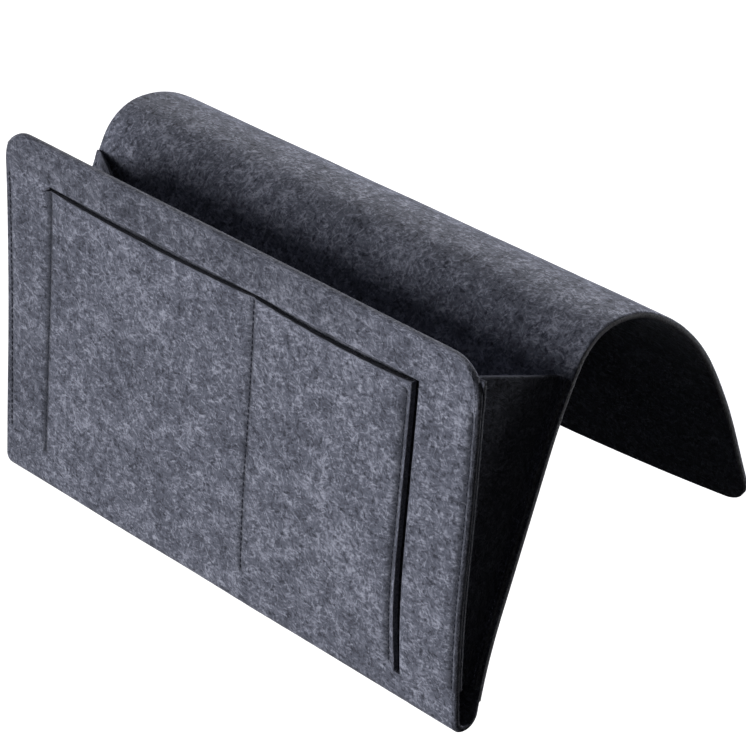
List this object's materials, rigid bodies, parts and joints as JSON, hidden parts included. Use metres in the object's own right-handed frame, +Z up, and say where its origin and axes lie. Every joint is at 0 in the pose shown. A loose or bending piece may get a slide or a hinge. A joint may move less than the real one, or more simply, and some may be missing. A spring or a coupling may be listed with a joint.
{
  "type": "hanging storage bag",
  "caption": "Felt storage bag with flat front pockets and folding side walls, hung by a felt saddle that goes over a rail or under a mattress.",
  "frame": {"origin": "underside of the saddle's crown at mid-width, where the bag hangs on a rail or an edge", "axes": "+X to the right as seen from the front, +Y to the back, +Z up"},
  "size_m": [0.32, 0.2107, 0.1889],
  "materials": {
    "slate_felt": "pressed felt",
    "dark_felt": "pressed felt",
    "dark_thread": "twisted thread"
  },
  "bodies": {
    "back": {"back_panel": "slate_felt", "saddle": "slate_felt", "bottom_fold": "slate_felt", "left_gusset": "slate_felt", "right_gusset": "slate_felt", "back_left_seam_needle_thread": "dark_thread", "back_left_seam_bobbin_thread": "dark_thread", "back_right_seam_needle_thread": "dark_thread", "back_right_seam_bobbin_thread": "dark_thread"},
    "front": {"front_panel": "slate_felt", "pocket_backing": "dark_felt", "front_left_seam_needle_thread": "dark_thread", "front_left_seam_bobbin_thread": "dark_thread", "front_right_seam_needle_thread": "dark_thread", "front_right_seam_bobbin_thread": "dark_thread", "pocket_left_seam_needle_thread": "dark_thread", "pocket_left_seam_bobbin_thread": "dark_thread", "pocket_middle_seam_needle_thread": "dark_thread", "pocket_middle_seam_bobbin_thread": "dark_thread", "pocket_right_seam_needle_thread": "dark_thread", "pocket_right_seam_bobbin_thread": "dark_thread"},
    "flap": {"hanging_flap": "slate_felt"}
  },
  "joints": [
    {"name": "front_swing", "type": "hinge", "parent": "back", "child": "front", "pos_m": [0, -0.08978, -0.16602], "axis": [-1, 0, 0], "range_deg": [0, 11], "stiffness_Nm_per_rad": 0.15, "deforming": ["bottom_fold", "left_gusset", "right_gusset"]},
    {"name": "flap_swing", "type": "hinge", "parent": "back", "child": "flap", "pos_m": [0, 0, 0.00175], "axis": [1, 0, 0], "range_deg": [-50, 70], "stiffness_Nm_per_rad": 0.25, "springref_deg": 7.28, "deforming": ["saddle"]}
  ]
}
